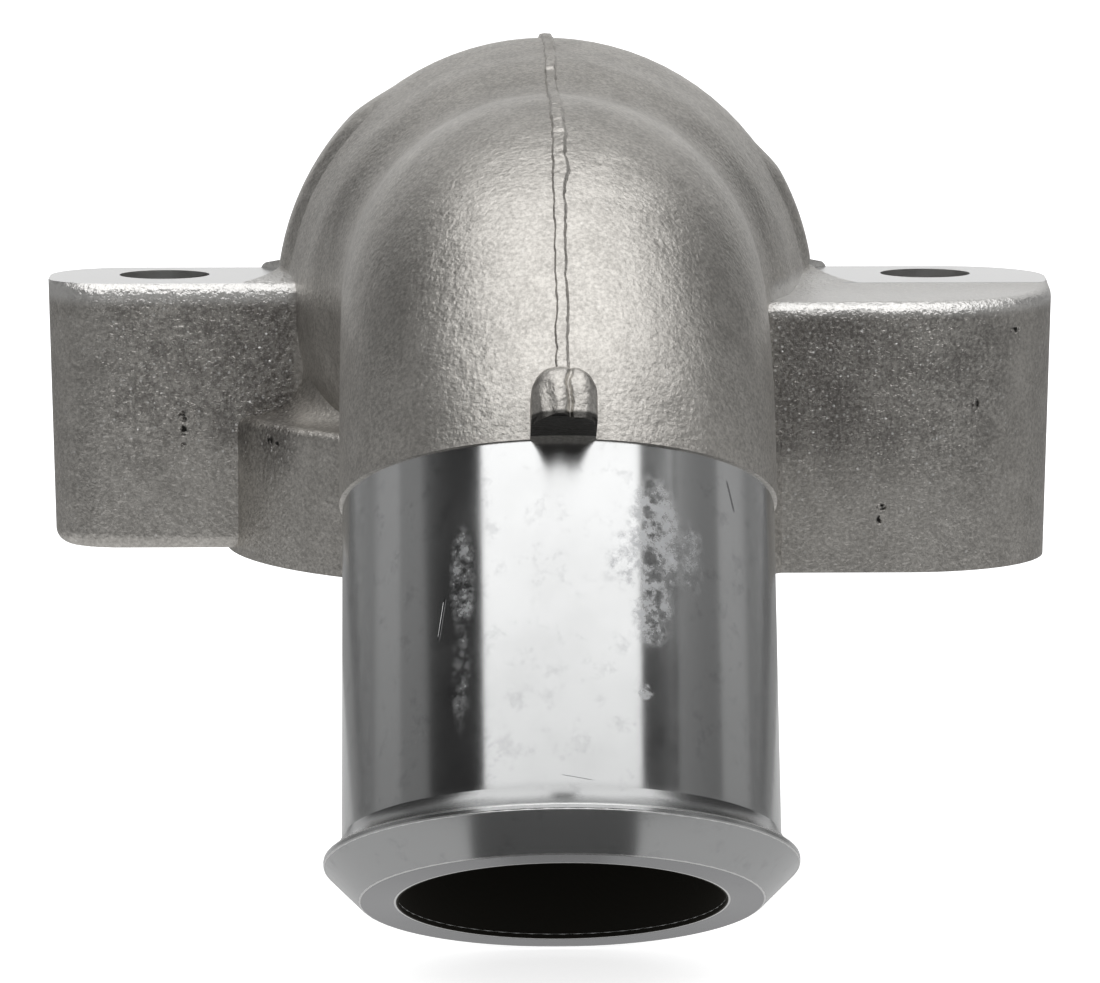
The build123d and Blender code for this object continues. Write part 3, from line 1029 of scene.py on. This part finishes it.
def sky_card(name, radius, turns, leans, strength):
    """Part of a ball round the part, seen only in reflections.

    A point is radius * (sin l, -cos l cos t, cos l sin t). The turn t goes from the front horizon
    over the top to the back, and the lean l goes to the right.
    """
    t = np.radians(np.linspace(*turns, 49))[:, None]
    lean = np.radians(np.linspace(*leans, 33))[None, :]
    parts = np.broadcast_arrays(np.sin(lean), -np.cos(lean) * np.cos(t), np.cos(lean) * np.sin(t))
    grid = radius * np.stack(parts, axis=-1)
    quads = grid_quads(*grid.shape[:2])[:, [0, 3, 2, 1]]
    glow = glow_material(name, strength)
    card = sheet_piece(name, grid.reshape(-1, 3).tolist(), quads.tolist(), glow)
    only_in_reflections(card)
    return card


def only_in_reflections(card):
    """Shows the object to glossy rays alone."""
    for rays in ("camera", "diffuse", "transmission", "volume_scatter", "shadow"):
        setattr(card, "visible_" + rays, False)


def disc(name, inner, outer, height, material, around=96):
    """A flat round sheet facing up, or a ring of two loops of points where inner is above 0."""
    t = np.linspace(0, 2 * pi, around, endpoint=False)
    loop = np.stack((np.cos(t), np.sin(t), np.zeros(around)), axis=-1)
    level = np.array((0.0, 0.0, height))
    here = np.arange(around)
    ahead = (here + 1) % around
    if inner > 0:
        points = np.concatenate((outer * loop + level, inner * loop + level))
        faces = np.stack((here, ahead, ahead + around, here + around), axis=-1)
    else:
        points = np.concatenate((outer * loop + level, level[None]))
        faces = np.stack((here, ahead, np.full(around, around)), axis=-1)
    return sheet_piece(name, points.tolist(), faces.tolist(), material)


def floor_sheet(name, corners, height, strength):
    """A glowing sheet with four corners that lies flat."""
    points = [(x, y, height) for x, y in corners]
    return sheet_piece(name, points, [(0, 1, 2, 3)], glow_material(name, strength))


def seen_directly(wiring):
    """1 for rays from the camera, from gloss and through glass, and 0 for diffuse and shadow rays."""
    path = wiring.node("ShaderNodeLightPath")
    return wiring.most(
        path.outputs["Is Camera Ray"], path.outputs["Is Glossy Ray"], path.outputs["Is Transmission Ray"]
    )


def floor_material(studio):
    """Pale floor that keeps the part's shadow and goes to white where it is seen directly."""
    material, wiring = new_material("pale_floor")
    nodes = material.node_tree.nodes
    nodes.remove(nodes["Principled BSDF"])
    paint = wiring.node("ShaderNodeBsdfDiffuse", {"Color": opaque(studio.floor_colour)})
    lift_strength = wiring.times(seen_directly(wiring), studio.floor_lift)
    lift = wiring.node("ShaderNodeEmission", {"Strength": lift_strength})
    both = wiring.node("ShaderNodeAddShader")
    wiring.feed(both.inputs[0], paint.outputs[0])
    wiring.feed(both.inputs[1], lift.outputs[0])
    wiring.feed(nodes["Material Output"].inputs["Surface"], both.outputs[0])
    return material


# Strength of the grey light from all round
WORLD_LIGHT = 0.8


def paint_world():
    """White background where it is seen directly, and a plain grey light from all round."""
    world = bpy.data.worlds.new("studio")
    world.use_nodes = True
    wiring = Wiring(world.node_tree)
    strength = wiring.among(seen_directly(wiring), WORLD_LIGHT, 1.0)
    background = world.node_tree.nodes["Background"]
    wiring.feed(background.inputs["Color"], (1.0, 1.0, 1.0, 1.0))
    wiring.feed(background.inputs["Strength"], strength)
    bpy.context.scene.world = world


def add_camera(studio):
    """Camera at the photograph's angle, from its azimuth, elevation, roll and distance."""
    a = studio.azimuth
    e = studio.elevation
    back = Vector((sin(a) * cos(e), -cos(a) * cos(e), sin(e)))
    right = Vector((cos(a), sin(a), 0.0))
    up = back.cross(right)
    rolled_right = cos(studio.roll) * right + sin(studio.roll) * up
    rolled_up = cos(studio.roll) * up - sin(studio.roll) * right
    aim = Vector(CAMERA_AIM) * MM
    data = bpy.data.cameras.new("camera")
    data.sensor_fit = "HORIZONTAL"
    data.sensor_width = SENSOR_WIDTH
    data.lens = studio.focal_pixels * SENSOR_WIDTH / PICTURE_WIDTH
    data.clip_start = 0.01
    data.clip_end = 50.0
    camera = placed("camera", data)
    turn = Matrix((rolled_right, rolled_up, back)).transposed()
    camera.matrix_world = Matrix.Translation(aim + back * studio.distance) @ turn.to_4x4()
    bpy.context.scene.camera = camera


def soft_light(name, place, aim, size, radiance):
    """A rectangular soft light of one radiance: power = radiance * pi * area."""
    data = bpy.data.lights.new(name, "AREA")
    data.shape = "RECTANGLE"
    data.size, data.size_y = size
    data.energy = radiance * pi * size[0] * size[1]
    lamp = placed(name, data)
    lamp.location = place
    lamp.rotation_mode = "QUATERNION"
    lamp.rotation_quaternion = (Vector(aim) - Vector(place)).to_track_quat("-Z", "Y")
    lamp.visible_camera = False
    return lamp


# Turn over the top, lean to the right, strength and radius of each card that the metal reflects
SKY_CARDS = {
    "surround": ((-90, 270), (-90, 90), 0.26, 1.4),
    "soft_box": ((30, 66), (-38.5, 38.5), 1.55, 1.2),
    "soft_box_right": ((57, 66), (38.5, 54), 1.4, 1.2),
    "roof_front": ((66, 90), (-42, 56), 1.2, 1.2),
    "roof": ((90, 118), (-42, 54), 1.45, 1.2),
    "roof_left": ((80, 118), (-64, -38), 0.2, 1.2),
    "roof_right": ((66, 118), (58, 90), 0.22, 1.2),
    "left_flag": ((-12, 60), (-68, -38.5), 0.03, 1.19),
    "left_flag_high": ((60, 80), (-68, -38.5), 0.13, 1.19),
    "right_flag": ((-12, 57), (38.5, 58), 0.03, 1.19),
    "front_low": ((-12, 30), (-38.5, 37), 0.1, 1.2),
    "back_high": ((116, 150), (-38, 38), 0.3, 1.2),
    "back_low": ((150, 190), (-34, 34), 0.6, 1.25),
    "back_left": ((90, 150), (-64, -34), 0.05, 1.17),
    "back_right": ((90, 150), (34, 64), 0.05, 1.17),
    "back_left_low": ((150, 168), (-54, -34), 0.05, 1.17),
    "back_right_low": ((150, 168), (34, 54), 0.05, 1.17),
    "side_left": ((118, 185), (-90, -64), 0.38, 1.18),
    "side_right": ((110, 185), (64, 90), 0.42, 1.18),
    "spot_face_card": ((165, 180), (-14, 14), 1.15, 1.2),
}

# Inner and outer radius and strength of the round mats on the floor that the metal reflects
MATS = {
    "near_mat": (0.0, 0.11, 0.6),
    "middle_mat": (0.11, 0.26, 0.3),
    "far_mat": (0.26, 1.25, 0.16),
}

# The dark wedge on the floor before the mouth: its corners, and its strength
FRONT_SHEET = ((-0.0619, -0.16), (0.0456, -0.16), (0.0033, -0.07), (-0.0043, -0.07))
FRONT_SHEET_STRENGTH = 0.12

# In metres: the floor's radius, how far the mats and the wedge lie over it, and the place, aim and
# size of the key light
FLOOR_RADIUS = 3.0
MAT_LIFT = 0.0003
FRONT_SHEET_LIFT = 0.0006
KEY_PLACE = (0.0, -0.5, 0.9)
KEY_AIM = (0.0, -0.05, 0.01)
KEY_SIZE = (1.2, 0.9)


class OUTLET_OT_studio(bpy.types.Operator):
    """Sets up the camera, the pale floor, the lights and the cards that the metal reflects"""

    bl_idname = "outlet.studio"
    bl_label = "Studio"

    def execute(self, context):
        studio = context.scene.outlet_studio
        add_camera(studio)
        paint_world()
        floor_height = CASTING_LOW.z - studio.floor_gap
        floor = disc("floor", 0.0, FLOOR_RADIUS, floor_height, floor_material(studio))
        mats = [
            disc(name, inner, outer, floor_height + MAT_LIFT, glow_material(name, strength))
            for name, (inner, outer, strength) in MATS.items()
        ]
        wedge_height = floor_height + FRONT_SHEET_LIFT
        mats.append(floor_sheet("front_sheet", FRONT_SHEET, wedge_height, FRONT_SHEET_STRENGTH))
        for mat in mats:
            only_in_reflections(mat)
        cards = [
            sky_card(name, radius, turns, leans, strength)
            for name, (turns, leans, strength, radius) in SKY_CARDS.items()
        ]
        key = soft_light("key_light", KEY_PLACE, KEY_AIM, KEY_SIZE, studio.key_strength)
        key.visible_glossy = False
        return {"FINISHED"}


def casting_skin():
    """The material that the casting wears."""
    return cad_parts[CASTING].material_slots[0].material


class OUTLET_OT_cast_skin(bpy.types.Operator):
    """Gives the casting its blasted skin, its milled faces, its darkened bore, partly stain and partly
    painted shade, and its painted glints, highlight and shade
    """

    bl_idname = "outlet.cast_skin"
    bl_label = "Cast skin"

    def execute(self, context):
        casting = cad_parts[CASTING]
        material = cast_material(context.scene.outlet_cast)
        for slot in casting.material_slots:
            slot.material = material
        return {"FINISHED"}


class OUTLET_OT_turned_spigot(bpy.types.Operator):
    """Lays the turned skin over the spigot, its bead and its mouth"""

    bl_idname = "outlet.turned_spigot"
    bl_label = "Turned spigot"

    def execute(self, context):
        profile = turned_profile(context.scene.outlet_spigot)
        around = 288
        skin = facing_out(closed_skin("turned_spigot", turned_grid(profile, around), loop_along=True))
        lay_turning_map(skin, profile, around)
        smooth_but_edges(skin)
        finished(skin, turned_material(context.scene.outlet_turned))
        return {"FINISHED"}


def smooth_but_edges(piece):
    """Smooth shading with sharp edges where faces meet at more than 20 degrees."""
    bpy.context.view_layer.objects.active = piece
    piece.select_set(True)
    bpy.ops.object.shade_smooth_by_angle(angle=radians(20))
    piece.select_set(False)


class OUTLET_OT_flash_line(bpy.types.Operator):
    """Runs the flash line of the mould over the bulb and down the elbow"""

    bl_idname = "outlet.flash_line"
    bl_label = "Flash line"

    def execute(self, context):
        line = facing_out(closed_skin("flash_line", flash_grid(context.scene.outlet_flash)))
        finished(line, casting_skin())
        return {"FINISHED"}


class OUTLET_OT_lug_skin(bpy.types.Operator):
    """Gives the lug its uneven cast skin with the crack of the flash line"""

    bl_idname = "outlet.lug_skin"
    bl_label = "Lug skin"

    def execute(self, context):
        skin = facing_out(closed_skin("lug_skin", lug_grid(context.scene.outlet_lug)))
        finished(skin, casting_skin())
        return {"FINISHED"}


# Side, lowest and highest edge of each pad, in millimetres
PADS = {
    "upper_left_pad_skin": (-1, 34.4, 41.0),
    "lower_left_pad_skin": (-1, 27.5, 33.8),
    "right_pad_skin": (1, 28.2, 35.8),
}


class OUTLET_OT_pad_skins(bpy.types.Operator):
    """Softens the edges of the raised pads on the sides of the bulb"""

    bl_idname = "outlet.pad_skins"
    bl_label = "Pad skins"

    def execute(self, context):
        for name, (side, low, high) in PADS.items():
            layers = pad_grid(context.scene.outlet_pads, side, low, high)
            finished(facing_out(two_layers(name, *layers)), casting_skin())
        return {"FINISHED"}


STEPS = (
    OUTLET_OT_studio,
    OUTLET_OT_cast_skin,
    OUTLET_OT_turned_spigot,
    OUTLET_OT_flash_line,
    OUTLET_OT_lug_skin,
    OUTLET_OT_pad_skins,
)


class OUTLET_PT_panel(bpy.types.Panel):
    """Sizes, finishes and steps of the outlet"""

    bl_idname = "OUTLET_PT_panel"
    bl_label = "Coolant water outlet"
    bl_space_type = "VIEW_3D"
    bl_region_type = "UI"
    bl_category = "Outlet"

    def draw(self, context):
        for key, group in GROUPS.items():
            box = self.layout.box()
            box.label(text=group.__doc__)
            for name in group.__annotations__:
                box.prop(getattr(context.scene, key), name)
        for step in STEPS:
            self.layout.operator(step.bl_idname)


CLASSES = (*GROUPS.values(), *STEPS, OUTLET_PT_panel)


def register():
    for item in CLASSES:
        bpy.utils.register_class(item)
    for key, group in GROUPS.items():
        setattr(bpy.types.Scene, key, bpy.props.PointerProperty(type=group))


def unregister():
    for key in GROUPS:
        delattr(bpy.types.Scene, key)
    for item in reversed(CLASSES):
        bpy.utils.unregister_class(item)


def main():
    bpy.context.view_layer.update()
    register()
    bpy.context.scene.view_settings.view_transform = "Standard"
    for step in STEPS:
        group, name = step.bl_idname.split(".")
        getattr(getattr(bpy.ops, group), name)()


if __name__ == "__main__":
    main()
